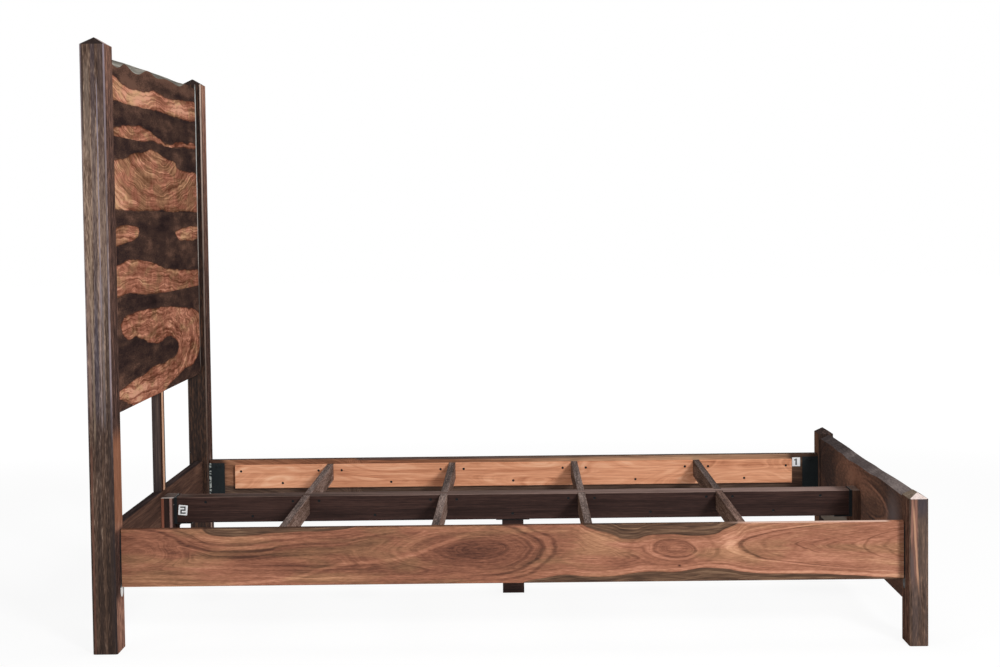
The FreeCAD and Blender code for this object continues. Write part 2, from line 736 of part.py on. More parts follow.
for end in ("head", "foot"):
    save("beam_block_" + end, blocks[end])
    save("beam_hanger_" + end, hangers[end])
save("beam_block_screws", *block_screws)
save("beam_hanger_screws", *hanger_screws)
hook_screws = []
plate_screws = []
for face_x, way in ((head_face_x, 1), (foot_face_x, -1)):
    for point in hook_screw_points(face_x, way):
        left = screw(point, ALONG_Y * -1, short_screw_length)
        hook_screws.extend([left, other_side(left)])
    for point in post_screw_points(face_x, way):
        left = screw(point - ALONG_X * way * screw_head_height, ALONG_X * -way, short_screw_length)
        plate_screws.extend([left, other_side(left)])
save("rail_hook_screws", *hook_screws)
save("post_plate_screws", *plate_screws)
save("rail_label", rail_label)
save("beam_label", beam_label)
print(len(written), "nodes")
print("overall", overall_length, overall_width, head_post_eave + head_post_depth / 2 * cap_slope)
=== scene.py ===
import math

import bpy
from mathutils import Matrix, Vector


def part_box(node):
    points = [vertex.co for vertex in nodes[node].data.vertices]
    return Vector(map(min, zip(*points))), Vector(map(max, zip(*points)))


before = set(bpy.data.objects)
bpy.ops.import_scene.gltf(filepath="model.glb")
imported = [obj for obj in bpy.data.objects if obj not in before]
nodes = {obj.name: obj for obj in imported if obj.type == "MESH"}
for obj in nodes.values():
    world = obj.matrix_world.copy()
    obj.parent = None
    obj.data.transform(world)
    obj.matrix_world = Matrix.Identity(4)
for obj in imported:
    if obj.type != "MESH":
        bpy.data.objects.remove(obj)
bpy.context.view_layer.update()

# The camera: it stands at the side of the bed, level with the upper part of the headboard, and looks a
# little down. Its place was worked out from the posts' and rails' corners in the picture.
eye = Vector((0.0330, -6.1257, 1.1216))
turn, dip, tilt = -0.00933, 0.05602, -0.01235
sensor_width = 36.0
focal_pixels = 2047.5
picture_width = 1000
ahead = Vector((math.sin(turn) * math.cos(dip), math.cos(turn) * math.cos(dip), -math.sin(dip)))
level = Vector((math.cos(turn), -math.sin(turn), 0.0))
upright = level.cross(ahead)
right = math.cos(tilt) * level + math.sin(tilt) * upright
top = math.cos(tilt) * upright - math.sin(tilt) * level
lens = bpy.data.cameras.new("camera")
lens.sensor_width = sensor_width
lens.lens = focal_pixels * sensor_width / picture_width
lens.clip_end = 100.0
camera = bpy.data.objects.new("camera", lens)
camera.matrix_world = Matrix.Translation(eye) @ Matrix((right, top, -ahead)).transposed().to_4x4()
bpy.context.scene.collection.objects.link(camera)
bpy.context.scene.camera = camera


# The floor and the room: a plain white floor that runs to the horizon under an even white sky. The camera,
# and what mirrors them, sees both as white, as in a cut-out studio picture, with a faint shadow round the
# bed. The bed gets soft light from both.
class Socket:
    """One output of a node. Python's operators on numbers add Math nodes."""

    def __init__(self, finish, socket):
        self.finish = finish
        self.socket = socket

    def maths(self, operation, *values):
        return self.finish.node("Math", {"operation": operation}, dict(enumerate(values)))

    def __add__(self, other):
        return self.maths("ADD", self, other)

    def __sub__(self, other):
        return self.maths("SUBTRACT", self, other)

    def __rsub__(self, other):
        return self.maths("SUBTRACT", other, self)

    def __mul__(self, other):
        return self.maths("MULTIPLY", self, other)

    def __truediv__(self, other):
        return self.maths("DIVIDE", self, other)

    def __pow__(self, other):
        return self.maths("POWER", self, other)

    def __abs__(self):
        return self.maths("ABSOLUTE", self)

    __radd__ = __add__
    __rmul__ = __mul__


class Finish:
    """The nodes of one material, or of the sky. node() adds any node and sets its settings first."""

    def __init__(self, name, owner=None):
        self.owner = owner or bpy.data.materials.new(name)
        self.owner.use_nodes = True
        self.tree = self.owner.node_tree
        self.tree.nodes.clear()

    def node(self, kind, settings=None, sockets=None, out=0):
        node = self.tree.nodes.new("ShaderNode" + kind)
        for name, value in (settings or {}).items():
            if name == "stops":
                stops = node.color_ramp.elements
                for place, tint in value[2:]:
                    stops.new(place)
                for stop, (place, tint) in zip(stops, value):
                    stop.position = place
                    stop.color = tint
            elif name == "points":
                points = node.mapping.curves[0].points
                for place, height in value[2:]:
                    points.new(place, height)
                for point, spot in zip(points, value):
                    point.location = spot
                node.mapping.update()
            else:
                setattr(node, name, value)
        for name, value in (sockets or {}).items():
            if isinstance(value, Socket):
                self.tree.links.new(value.socket, node.inputs[name])
            else:
                node.inputs[name].default_value = value
        return Socket(self, node.outputs[out]) if node.outputs else None


def as_seen(red, green, blue):
    """A colour as a screen shows it, 0 to 255, turned into the light values that shaders use."""
    tones = [tone / 255 for tone in (red, green, blue)]
    return [((t + 0.055) / 1.055) ** 2.4 if t > 0.04045 else t / 12.92 for t in tones] + [1.0]


sky = bpy.data.worlds.new("sky")
bpy.context.scene.world = sky
sky_finish = Finish("sky", sky)
sky_strength = 0.28


def white_rays(finish):
    """1 for the rays that show a white background: the camera's, mirrored ones and those through glass."""
    seen, mirrored, through = (
        finish.node("LightPath", out="Is %s Ray" % kind) for kind in ("Camera", "Glossy", "Transmission"))
    return seen.maths("MAXIMUM", seen, mirrored.maths("MAXIMUM", mirrored, through))


sky_light = sky_finish.node("Background", None, {
    "Color": (1, 1, 1, 1), "Strength": white_rays(sky_finish) * (1 - sky_strength) + sky_strength})
sky_finish.node("OutputWorld", None, {"Surface": sky_light})

floor_half = 30.0
floor_mesh = bpy.data.meshes.new("floor")
floor_corners = [(sx * floor_half, sy * floor_half, 0) for sx, sy in ((-1, -1), (1, -1), (1, 1), (-1, 1))]
floor_mesh.from_pydata(floor_corners, [], [(0, 1, 2, 3)])
floor = bpy.data.objects.new("floor", floor_mesh)
bpy.context.scene.collection.objects.link(floor)
floor_finish = Finish("floor_white")
floor_place = floor_finish.node("TexCoord", out="Object")
floor_reach = floor_finish.node("VectorMath", {"operation": "LENGTH"}, {0: floor_place}, out="Value")
shadow_free = floor_finish.node("MapRange", {"interpolation_type": "SMOOTHSTEP"}, {
    "Value": floor_reach, "From Min": 2.5, "From Max": 6.0, "To Min": 0.85, "To Max": 1.0})
matt = floor_finish.node("BsdfDiffuse", None, {"Color": as_seen(236, 236, 236)})
glow = floor_finish.node("Emission", None, {"Color": (1, 1, 1, 1), "Strength": 1.05})
floor_surface = floor_finish.node("MixShader", None, {
    0: white_rays(floor_finish) * shadow_free, 1: matt, 2: glow})
floor_finish.node("OutputMaterial", None, {"Surface": floor_surface})
floor_mesh.materials.append(floor_finish.owner)


def soft_box(name, place, aim, width, height, watts):
    """A large soft lamp that shines from one point towards another."""
    lamp = bpy.data.lights.new(name, "AREA")
    lamp.shape = "RECTANGLE"
    lamp.size = width
    lamp.size_y = height
    lamp.energy = watts
    stand = bpy.data.objects.new(name, lamp)
    stand.location = place
    stand.rotation_euler = (Vector(aim) - Vector(place)).to_track_quat("-Z", "Y").to_euler()
    stand.visible_camera = False
    bpy.context.scene.collection.objects.link(stand)


bed_middle = (0, 0, 0.6)
soft_box("key_light", (2.9, -7.5, 3.3), bed_middle, 1.1, 1.1, 415)
soft_box("fill_light", (-4.5, -5.0, 3.0), bed_middle, 3.0, 3.0, 70)
soft_box("top_light", (0.5, 0.5, 5.0), bed_middle, 4.0, 3.0, 90)


# The four posts: sawn and planed hardwood with low four-sided caps, satin lacquer. The grain runs up the
# post in brown, tan and bluish-black streaks. The faces towards the mattress are redder. A painted highlight
# lies on some of the eased edges, painted light and shade on the cap slopes, and painted shade on a post face
# beside a rail end.
def object_place(finish):
    """Object coordinates, and their three parts."""
    place = finish.node("TexCoord", out="Object")
    parts = [finish.node("SeparateXYZ", None, {0: place}, out=axis) for axis in range(3)]
    return place, parts


def fibre(place, scales, detail, distortion=0.0, shift=(0, 0, 0)):
    """Noise drawn out along the grain: scales are its waves per metre along X, Y and Z."""
    moved = place.finish.node("VectorMath", {"operation": "ADD"}, {0: place, 1: shift})
    spread = place.finish.node("VectorMath", {"operation": "MULTIPLY"}, {0: moved, 1: scales})
    return place.finish.node("TexNoise", None, {
        "Vector": spread, "Scale": 1.0, "Detail": detail, "Roughness": 0.55, "Distortion": distortion})


def rise(value, low, high):
    """0 under low and 1 over high, with a smooth rise between them."""
    return value.finish.node("MapRange", {"interpolation_type": "SMOOTHSTEP"}, {
        "Value": value, "From Min": low, "From Max": high, "To Min": 0.0, "To Max": 1.0})


def blend(share, first, second):
    """From the first colour at a share of 0 to the second at 1."""
    return share.finish.node("Mix", {"data_type": "RGBA"}, {0: share, 6: first, 7: second}, out=2)


def tones(value, stops):
    """A colour for every value, from stops of (value, colour)."""
    return value.finish.node("ValToRGB", {"stops": [(at, as_seen(*tint)) for at, tint in stops]}, {0: value})


def facing(finish, axis):
    """How much the surface faces along one axis: 1 along it, 0 square to it and -1 against it."""
    normal = finish.node("NewGeometry", out="Normal")
    return finish.node("SeparateXYZ", None, {0: normal}, out=axis)


def line_along(place, points, start, end, low, high):
    """A smooth line through points of (place, height) in mm, between two ends and two heights in metres."""
    share = (place - start) / (end - start)
    spots = [((a / 1000 - start) / (end - start), (b / 1000 - low) / (high - low)) for a, b in points]
    return place.finish.node("FloatCurve", {"points": spots}, {"Value": share}) * (high - low) + low


def spot(across, height, centre, radii):
    """1 at a point, given in millimetres, and 0 outside an ellipse round it."""
    u = (across - centre[0] / 1000) / (radii[0] / 1000)
    v = (height - centre[1] / 1000) / (radii[1] / 1000)
    return 1 - rise((u * u + v * v) ** 0.5, 0.0, 1.0)


def stroke(distance, half_width, fade):
    """1 on a line, and 0 past its half width and its fade, both in millimetres. The distance is in metres."""
    return 1 - rise(abs(distance), half_width / 1000, (half_width + fade) / 1000)


def lacquer(finish, tint, height, roughness, top_gloss=0.0):
    """A satin lacquer over wood. Upright faces shine when seen squarely and stay dull when seen at a flat
    angle, as in a dark studio. Level faces shine by a share of their own, as they mirror the white sky."""
    gloss, grain_depth = 0.15, 0.0004
    relief = finish.node("Bump", None, {"Strength": 0.35, "Distance": grain_depth, "Height": height})
    flat = finish.node("LayerWeight", None, {"Blend": 0.5}, out="Facing")
    level_face = rise(facing(finish, 2), 0.5, 0.9)
    upright_gloss = (1 - rise(flat, 0.3, 0.7)) * (1 - level_face) * gloss
    wood = finish.node("BsdfPrincipled", None, {
        "Base Color": tint, "Roughness": roughness, "Specular IOR Level": 0.0, "Normal": relief,
        "Coat Weight": upright_gloss + level_face * top_gloss, "Coat Roughness": 0.3})
    finish.node("OutputMaterial", None, {"Surface": wood})
    return finish.owner


def dress(name, material):
    """Gives a piece its material."""
    piece = nodes[name]
    piece.data.materials.clear()
    piece.data.materials.append(material)


post_top = 1.61


def post_finish(name, shift, outer_tones, cool_tones, cool_shade, inner_tones, outer_shade, inner_shade,
                streaks, inner_streaks, arris_highlight_tint, arris_highlight_share, cap_tones, cap_facet_light):
    """A post's wood. Shades are points of (height, lightness) that lighten or darken a face up its length,
    and in places paint shade, as beside a rail end. Cool shade is points of (height, share) for how much of
    the outer face takes the cool tones. Streaks are (low x, low z, high x, high z, half width, colour,
    strength) on the outer face, and inner streaks the same with y for x on the faces along X, all in
    millimetres; a few of them are painted highlights. The arris highlight tint and share paint a highlight on
    the eased edges, up the post. Cap facet light is (axis, direction, colour, strength) of painted light or
    shade on the slopes of the cap that look one way."""
    finish = Finish(name)
    place, (x, y, z) = object_place(finish)
    wide = fibre(place, (60, 60, 1.3), 3, 0.4, shift)
    narrow = fibre(place, (210, 210, 14), 4, 0.3, shift)
    pores = fibre(place, (420, 420, 48), 3, 0.0, shift)
    value = 0.5 + (wide - 0.5) * 0.6 + (narrow - 0.5) * 0.9 + (pores - 0.5) * 1.3

    def up_post(points, least=-0.5, most=0.5):
        """A line up the post, between the least and the most that it can give."""
        return line_along(z, points, 0.0, post_top, least, most)

    outer_value = value + up_post(outer_shade)
    cool = rise(fibre(place, (38, 38, 0.7), 2, 0.3, (shift[0] + 5, shift[1], shift[2])), 0.42, 0.6)
    cool = cool * up_post(cool_shade, 0.0, 1.0)
    outer = blend(cool, tones(outer_value, outer_tones), tones(outer_value, cool_tones))
    front = rise(facing(finish, 0), 0.5, 0.8)
    inner = tones(value + up_post(inner_shade) * front, inner_tones)
    wander = (wide - 0.5) * 0.003 + (narrow - 0.5) * 0.0025
    broken = rise(narrow + pores * 0.6, 0.35, 0.85)
    for across, lines in ((x, streaks), (y, inner_streaks)):
        for low, low_z, high, high_z, half_width, tint, strength in lines:
            middle = (z - low_z / 1000) * ((high - low) / (high_z - low_z)) + low / 1000
            side = stroke(across - middle + wander, half_width, 1.5)
            tall = rise(z, low_z / 1000 - 0.03, low_z / 1000 + 0.03) * (
                1 - rise(z, high_z / 1000 - 0.03, high_z / 1000 + 0.03))
            share = side * tall * (broken * 0.5 + 0.5) * strength
            if across is x:
                outer = blend(share, outer, as_seen(*tint))
            else:
                inner = blend(share * front, inner, as_seen(*tint))
    tint = blend(rise(abs(facing(finish, 0)), 0.8, 0.95), outer, inner)
    # Painted highlight: the eased edges up the post take the arris tint, as much as the highlight share gives.
    edge = rise(abs(facing(finish, 0)) * abs(facing(finish, 1)), 0.2, 0.4)
    glint = up_post(arris_highlight_share, 0.0, 1.0) * rise(narrow, 0.2, 0.5)
    tint = blend(edge * glint, tint, as_seen(*arris_highlight_tint))
    cap = tones(value, cap_tones)
    # Painted light and shade: each cap slope that looks one way takes its own lighter or darker tint.
    for axis, direction, facet_light_tint, strength in cap_facet_light:
        facet = rise(facing(finish, axis) * direction, 0.3, 0.45)
        cap = blend(facet * (rise(value, 0.1, 0.6) * 0.4 + 0.6) * strength, cap, as_seen(*facet_light_tint))
    tint = blend(rise(facing(finish, 2), 0.5, 0.8), tint, cap)
    return lacquer(finish, tint, value, roughness=0.5 + (narrow - 0.5) * 0.2)


head_outer_tones = [(0.10, (46, 35, 30)), (0.36, (74, 57, 48)), (0.55, (104, 84, 72)), (0.80, (154, 131, 114))]
head_cool_tones = [(0.10, (40, 35, 39)), (0.36, (66, 58, 61)), (0.55, (92, 83, 86)), (0.80, (142, 130, 132))]
head_inner_tones = [(0.10, (44, 34, 32)), (0.36, (73, 56, 51)), (0.55, (104, 79, 71)), (0.75, (154, 112, 95)),
                    (0.95, (200, 152, 128))]
foot_outer_tones = [(0.10, (54, 43, 38)), (0.36, (78, 61, 52)), (0.55, (102, 79, 66)), (0.80, (148, 116, 96))]
foot_cool_tones = [(0.10, (48, 43, 45)), (0.36, (68, 60, 61)), (0.55, (88, 78, 77)), (0.80, (124, 112, 108))]
foot_inner_tones = [(0.10, (40, 31, 28)), (0.36, (66, 49, 42)), (0.55, (94, 69, 58)), (0.80, (136, 101, 84))]
far_outer_tones = [(0.1, (28, 23, 22)), (0.5, (48, 37, 33)), (0.9, (96, 68, 52))]
dark_cap = [(0.2, (38, 32, 32)), (0.5, (58, 48, 45)), (0.8, (96, 78, 72))]
even_shade = [(0, 0), (1610, 0)]
head_left = post_finish(
    "head_post_left_wood", (0, 0, 0), head_outer_tones, head_cool_tones,
    [(0, 20), (450, 60), (700, 650), (900, 1000), (1610, 1000)], head_inner_tones,
    [(0, -300), (200, -310), (430, -150), (560, -180), (700, 10), (1000, 110), (1250, 120), (1400, 0),
     (1500, -100), (1610, -150)],
    # Inner shade: the dip from 165 to 315 mm is painted shade on the face beside the rail end.
    [(0, 200), (130, 200), (165, -200), (315, -150), (330, 240), (345, 200), (430, 190), (460, 250),
     (520, 250), (560, 60), (620, -100), (900, -80), (1300, -20), (1480, 60), (1610, 130)],
    [(-1080.5, 1340, -1080.5, 1590, 2.2, (54, 43, 40), 0.8),
     (-1069, 1300, -1069.5, 1530, 5.5, (112, 97, 86), 0.6),
     (-1059.5, 620, -1052.5, 1600, 4.5, (60, 54, 62), 0.55),
     (-1044.5, 880, -1044, 1480, 0.6, (136, 126, 134), 0.9),
     (-1035, 950, -1034, 1600, 5.5, (86, 71, 68), 0.5),
     (-1025.5, 0, -1025.5, 1600, 1.0, (42, 37, 41), 0.7),
     (-1077.5, 620, -1077.5, 1000, 2.5, (128, 104, 95), 0.6),
     (-1068.5, 560, -1068.5, 1150, 1.6, (140, 120, 102), 0.6),
     (-1049, 600, -1048, 1000, 0.8, (158, 140, 138), 0.6),
     (-1041.5, 600, -1041, 980, 2.6, (112, 104, 106), 0.5),
     (-1031, 20, -1031, 960, 3.4, (52, 42, 39), 0.7),
     (-1079, 0, -1079, 540, 2.2, (104, 70, 58), 0.6),
     (-1060, 0, -1060, 560, 3.0, (54, 42, 37), 0.5),
     (-1049, 0, -1049, 580, 2.0, (90, 69, 56), 0.35),
     (-1071, 0, -1071, 560, 1.5, (94, 72, 58), 0.35)],
    [(-801, 330, -801, 570, 60, (150, 98, 71), 0.7)], (172, 157, 166),
    [(0, 0), (500, 20), (640, 260), (760, 480), (900, 400), (1150, 200), (1350, 350), (1480, 420),
     (1610, 600)],
    dark_cap, [(1, -1, (48, 40, 38), 0.8), (0, 1, (192, 172, 166), 0.8)])
head_right = post_finish(
    "head_post_right_wood", (3, 0, 1), far_outer_tones, far_outer_tones, even_shade, head_inner_tones,
    even_shade, [(0, -80), (300, -80), (600, -110), (850, -60), (1000, 40), (1300, 150), (1610, 320)],
    # The first three streaks are a painted highlight down the joint where the panel meets the post.
    [(-1041.7, 1210, -1041.7, 1568, 0.8, (206, 210, 208), 1.0),
     (-1041.7, 960, -1041.7, 1240, 0.8, (204, 196, 188), 0.8),
     (-1041.7, 640, -1041.7, 980, 0.7, (140, 128, 120), 0.7)],
    # The first inner streak is a painted highlight beside the eased edge.
    [(751, 1000, 751, 1600, 2.5, (214, 180, 156), 0.8), (765, 20, 765, 1560, 6, (48, 34, 31), 0.5),
     (794, 20, 794, 318, 13, (188, 160, 146), 0.9)],
    (206, 184, 170), [(0, 0), (320, 50), (700, 250), (1000, 300), (1300, 600), (1610, 900)],
    dark_cap, [(1, -1, (46, 38, 36), 0.8)])
foot_left = post_finish(
    "foot_post_left_wood", (0, 2, 5), foot_outer_tones, foot_cool_tones,
    [(0, 150), (300, 250), (400, 600), (1610, 600)], foot_inner_tones,
    [(0, -110), (150, -110), (200, -40), (300, -50), (384, -230), (1610, -230)],
    [(0, 20), (150, 20), (175, -160), (318, -160), (330, 60), (384, 80), (1610, 80)],
    [(1051, 170, 1050, 400, 8, (118, 85, 75), 0.75), (1046.5, 165, 1042, 250, 4, (84, 72, 70), 0.8),
     (1043, 270, 1045.5, 400, 0.9, (144, 104, 90), 0.8), (1050.5, 300, 1052, 400, 0.8, (88, 60, 54), 0.8),
     (1055, 280, 1054, 400, 1.1, (148, 106, 90), 0.7),
     (1060.5, 150, 1048, 362, 1.8, (178, 136, 110), 0.85), (1073, 335, 1073, 400, 12, (68, 61, 66), 0.8),
     (1073, 165, 1073, 340, 12, (94, 78, 69), 0.5), (1066, 60, 1062, 300, 1.5, (74, 62, 58), 0.6),
     (1079, 0, 1079, 330, 1.2, (72, 62, 60), 0.6), (1052, 0, 1052, 165, 7, (80, 68, 66), 0.5)],
    [], (120, 100, 90), [(0, 100), (1610, 100)],
    [(0.2, (96, 84, 74)), (0.5, (122, 107, 93)), (0.8, (160, 142, 126))], [(1, -1, (230, 212, 206), 0.9)])
foot_right = post_finish(
    "foot_post_right_wood", (7, 0, 3), foot_inner_tones, foot_inner_tones, even_shade,
    [(0.1, (70, 48, 38)), (0.5, (110, 80, 64)), (0.9, (150, 116, 96))], [(0, -280), (1610, -280)],
    even_shade, [], [], (120, 100, 90), [(0, 100), (1610, 100)], dark_cap, [])
dress("head_post_left", head_left)
dress("head_post_right", head_right)
dress("foot_post_left", foot_left)
dress("foot_post_right", foot_right)


# The headboard panel: four wide planks, jointed edge to edge, of a wood with almost black heart and light
# orange-brown figure. Each plank's light areas lie between given lines of (place, height) in mm, and
# its fine lines flow along a course of its own: along a line, or round an eye.
panel_reach = 0.757


def between(height, lower, upper, softness):
    """1 between two lines and 0 outside them."""
    return rise(height - lower, -softness, softness) * rise(upper - height, -softness, softness)


def round_eye(across, height, centre, squeeze):
    """Distance from a point in millimetres, in metres of height, with lengths across squeezed by a factor."""
    u = (across - centre[0] / 1000) * squeeze
    v = height - centre[1] / 1000
    return (u * u + v * v) ** 0.5


def flow(course, along, height, waves, drift, detail=3):
    """Noise in bands along lines of equal course: waves per metre of course, drift per metre along them."""
    lined = course.finish.node("CombineXYZ", None, {
        0: course * waves, 1: along * drift[0], 2: height * drift[1]})
    return course.finish.node("TexNoise", None, {
        "Vector": lined, "Scale": 1.0, "Detail": detail, "Roughness": 0.55})


def plank_finish(name, low, high, bands, dark_bands, course, glows, redness, burl, shift):
    """A figured plank from its own height low to high: light bands, with dark bands over them. The course
    gives its flow lines, glows are (place, height, reach, rise, amount) that lighten it, redness shifts its
    light areas from golden to reddish, and burl is how much of them is curly."""
    finish = Finish(name)
    place, (x, y, z) = object_place(finish)
    drift = fibre(place, (1, 4, 16), 2, 0.0, shift)
    ripple = fibre(place, (1, 9, 55), 3, 0.3, shift)
    across = y + (drift - 0.5) * 0.08
    height = z + (drift - 0.5) * 0.012 + (ripple - 0.5) * 0.014
    light, deep = None, None
    for edges, is_light in [(band, True) for band in bands] + [(band, False) for band in dark_bands]:
        lower, upper = [line_along(across, edge, -panel_reach, panel_reach, low, high) for edge in edges]
        band = between(height, lower, upper, 0.002)
        if is_light:
            inside = between(height - 0.0015, lower, upper, 0.008)
            light = band if light is None else light.maths("MAXIMUM", light, band)
            deep = inside if deep is None else deep.maths("MAXIMUM", deep, inside)
        else:
            light = light * (1 - band)
            deep = deep * (1 - between(height, lower, upper, 0.01))
    lines = course(across, z, low, high) + (drift - 0.5) * 0.05 + (ripple - 0.5) * 0.006
    broad = flow(lines, y, z, 36, (1.5, 2))
    thin = flow(lines, y, z, 140, (1.5, 5))
    hair = flow(lines, y, z, 340, (4, 18), 2)
    curl = fibre(place, (1, 20, 30), 3, 1.2, shift)
    knurl = fibre(place, (1, 8, 46), 3, 2.2, shift)
    speck = fibre(place, (1, 60, 260), 2, 0.0, shift)
    glow = 0.0
    for centre_y, centre_z, reach, up, amount in glows:
        glow = spot(y, z, (centre_y, centre_z), (reach, up)) * amount + glow
    value = (0.55 + (broad - 0.5) * 0.7 + (thin - 0.5) * 1.05 + (hair - 0.5) * 0.75 + (curl - 0.5) * 0.5
             + (knurl - 0.5) * burl + (1 - deep) * light * 0.16 - deep * (1 - deep) * light * 0.9 + glow)
    golden = tones(value, [
        (0.12, (88, 58, 42)), (0.34, (120, 82, 60)), (0.52, (147, 104, 79)), (0.72, (186, 137, 103)),
        (0.92, (222, 174, 134))])
    reddish = tones(value, [
        (0.12, (92, 54, 42)), (0.34, (126, 76, 58)), (0.52, (155, 100, 80)), (0.72, (196, 131, 105)),
        (0.92, (232, 172, 143))])
    hue = rise(fibre(place, (1, 6, 22), 2, 0.5, (shift[0] + 9, shift[1], shift[2])) + redness, 0.4, 0.62)
    bright = blend(hue, golden, reddish)
    murk = (0.555 + (drift - 0.5) * 1.1 + (broad - 0.5) * 0.5 + (speck - 0.5) * 0.6 + (ripple - 0.5) * 0.5
            + glow)
    murky = tones(murk, [
        (0.15, (38, 29, 29)), (0.42, (57, 43, 41)), (0.62, (76, 57, 50)), (0.90, (114, 84, 71))])
    tint = blend(light, murky, bright)
    rim = light * (1 - light) * 4
    tint = blend(rim * 0.7, tint, as_seen(62, 40, 32))
    up_face = rise(facing(finish, 2), 0.4, 0.7)
    bark = tones(0.5 + (thin - 0.5) * 1.5 + (drift - 0.5) * 1.5, [
        (0.2, (88, 84, 78)), (0.5, (120, 116, 108)), (0.8, (160, 155, 146))])
    tint = blend(up_face, tint, bark)
    return lacquer(finish, tint, thin * 0.6 + hair * 0.4, roughness=0.5 + (thin - 0.5) * 0.2)


def along_line(points):
    """Flow lines that follow one line across the plank."""
    return lambda across, height, low, high: height - line_along(
        across, points, -panel_reach, panel_reach, low, high)


def about(centre, squeeze):
    """Flow lines that circle a point."""
    return lambda across, height, low, high: round_eye(across, height, centre, squeeze)


def past_nose(across, height, low, high):
    """Flow lines that run level up to a place and then bend round its nose."""
    beyond = across.maths("MAXIMUM", across - 0.15, 0.0) * 0.28
    rise_over = height - 0.742
    return (beyond * beyond + rise_over * rise_over) ** 0.5


top_edge = [(-757, 1540), (-620, 1512), (-500, 1500), (-300, 1498), (-150, 1502), (-50, 1512), (50, 1513),
            (200, 1505), (400, 1510), (600, 1518), (757, 1522)]
top_bands = [
    ([(-757, 1452), (-600, 1450), (-300, 1452), (0, 1455), (300, 1452), (757, 1456)], top_edge),
    ([(-757, 1352), (-300, 1352), (-100, 1362), (100, 1358), (250, 1354), (350, 1361), (600, 1364),
      (757, 1368)],
     [(-757, 1376), (-600, 1381), (-450, 1390), (-250, 1396), (-100, 1386), (0, 1376), (150, 1366),
      (250, 1363), (350, 1373), (450, 1378), (550, 1375), (650, 1386), (757, 1380)])]
upper_bands = [
    ([(-757, 1160), (-300, 1157), (0, 1160), (300, 1156), (757, 1158)],
     [(-757, 1285), (-640, 1292), (-500, 1300), (-400, 1314), (-200, 1326), (-100, 1336), (0, 1334),
      (100, 1320), (200, 1315), (320, 1311), (380, 1294), (500, 1288), (757, 1284)])]
lower_bands = [
    ([(-757, 1055), (-600, 1061), (-500, 1066), (-400, 1075), (-330, 1085), (-300, 1104), (757, 1110)],
     [(-757, 1108), (-600, 1112), (-400, 1116), (-330, 1110), (-300, 1092), (757, 1080)]),
    ([(-757, 1110), (295, 1104), (320, 1080), (350, 1071), (500, 1063), (757, 1065)],
     [(-757, 1080), (295, 1086), (320, 1096), (400, 1103), (500, 1106), (757, 1111)]),
    ([(-757, 922), (-600, 925), (-500, 930), (-400, 922), (-200, 915), (0, 912), (200, 908), (757, 902)],
     [(-757, 1005), (-630, 1010), (-500, 1018), (-420, 1021), (-300, 1015), (-100, 1005), (0, 995),
      (100, 985), (200, 978), (400, 972), (600, 968), (757, 962)])]
lower_middle = [(-757, 965), (-500, 975), (-300, 966), (0, 954), (400, 936), (757, 932)]
bottom_bands = [
    ([(-757, 650), (-620, 645), (-560, 635), (-500, 622), (-450, 612), (-300, 604), (0, 606), (50, 612),
      (100, 620), (200, 632), (300, 640), (400, 648), (450, 655), (600, 655), (650, 665), (700, 680),
      (757, 705)],
     [(-757, 800), (-640, 830), (-600, 850), (-550, 865), (-450, 870), (-300, 873), (-100, 869), (100, 868),
      (250, 860), (400, 850), (550, 840), (650, 835), (757, 812)])]
bottom_pocket = [
    ([(-757, 668), (-600, 675), (-500, 680), (-400, 685), (-250, 690), (-150, 699), (-50, 701), (50, 698),
      (150, 704), (250, 706), (300, 714), (335, 732), (757, 740)],
     [(-757, 885), (-640, 870), (-590, 840), (-560, 815), (-520, 803), (-400, 800), (-300, 790), (-200, 775),
      (-100, 768), (0, 765), (80, 774), (150, 775), (250, 762), (300, 748), (335, 726), (757, 720)])]
top_glows = [
    (-350, 1490, 500, 60, 0.38), (350, 1482, 350, 50, 0.3), (0, 1560, 1500, 42, 0.42),
    (0, 1426, 1500, 30, 0.09), (300, 1375, 500, 20, -0.1), (-300, 1385, 250, 25, 0.05)]
upper_glows = [
    (-640, 1230, 220, 110, 0.24), (-560, 1180, 200, 50, 0.2), (-330, 1294, 180, 16, 0.2),
    (370, 1200, 60, 60, -0.2), (600, 1230, 250, 80, -0.1), (-300, 1318, 160, 18, -0.35),
    (-80, 1300, 120, 30, 0.1)]
lower_glows = [
    (520, 1086, 260, 40, 0.3), (-450, 1092, 300, 40, 0.04), (-620, 980, 250, 60, 0.12),
    (550, 935, 400, 50, -0.08)]
bottom_glows = [
    (-700, 690, 160, 90, 0.2), (-420, 652, 350, 60, 0.28), (20, 650, 220, 50, 0.12),
    (230, 822, 260, 40, 0.16), (560, 720, 200, 60, -0.2), (-350, 840, 300, 40, -0.05),
    (350, 670, 200, 40, -0.06)]
panel_box = {name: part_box("headboard_plank_" + name) for name in ("top", "upper", "lower", "bottom")}
for name, bands, dark_bands, course, glows, redness, burl, shift in (
        ("top", top_bands, [], along_line(top_edge), top_glows, 0.05, 0.3, (0, 0, 0)),
        ("upper", upper_bands, [], about((40, 1385), 0.24), upper_glows, 0.0, 0.2, (0, 3, 0)),
        ("lower", lower_bands, [], along_line(lower_middle), lower_glows, 0.04, 0.3, (0, 6, 0)),
        ("bottom", bottom_bands, bottom_pocket, past_nose, bottom_glows, 0.08, 0.9, (0, 9, 0))):
    plank_low, plank_high = panel_box[name]
    material = plank_finish(
        "headboard_plank_" + name + "_wood", plank_low.z - 0.02, plank_high.z + 0.02, bands, dark_bands,
        course, glows, redness, burl, shift)
    dress("headboard_plank_" + name, material)
